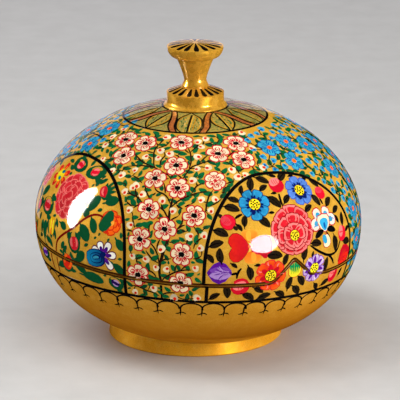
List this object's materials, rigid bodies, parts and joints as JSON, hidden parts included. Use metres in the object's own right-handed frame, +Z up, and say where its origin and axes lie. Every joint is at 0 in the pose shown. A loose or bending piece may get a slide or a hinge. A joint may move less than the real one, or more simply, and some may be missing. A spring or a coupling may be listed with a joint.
{
  "type": "papier mache box",
  "caption": "Round pasted-paper box with a lift-off lid, a turned knob, a ring foot and painted flowers on gold.",
  "frame": {"origin": "on the floor, straight below the middle of the round body", "axes": "+Z up, the knob on top; -Y is the front, where the blossom panel is; +X is the box's right as seen from the front"},
  "size_m": [0.1499, 0.15, 0.1373],
  "materials": {
    "painted_paper": "gold paint under gloss lacquer, with painted flowers",
    "bare_card": "dark lacquer",
    "gilded_wood": "gold paint under gloss lacquer",
    "bare_wood": "bare turned dowel",
    "dark_paper": "dark lacquer"
  },
  "bodies": {
    "bowl": {"bowl_shell": "painted_paper", "rim_collar": "bare_card", "foot_ring": "gilded_wood"},
    "lid": {"lid_shell": "painted_paper", "finial": "gilded_wood", "finial_peg": "bare_wood", "crown_patch": "dark_paper"}
  },
  "joints": [
    {"name": "lid_lift", "type": "slide", "parent": "bowl", "child": "lid", "axis": [0.0384, 0, 0.9993], "range_m": [0, 0.09]}
  ]
}
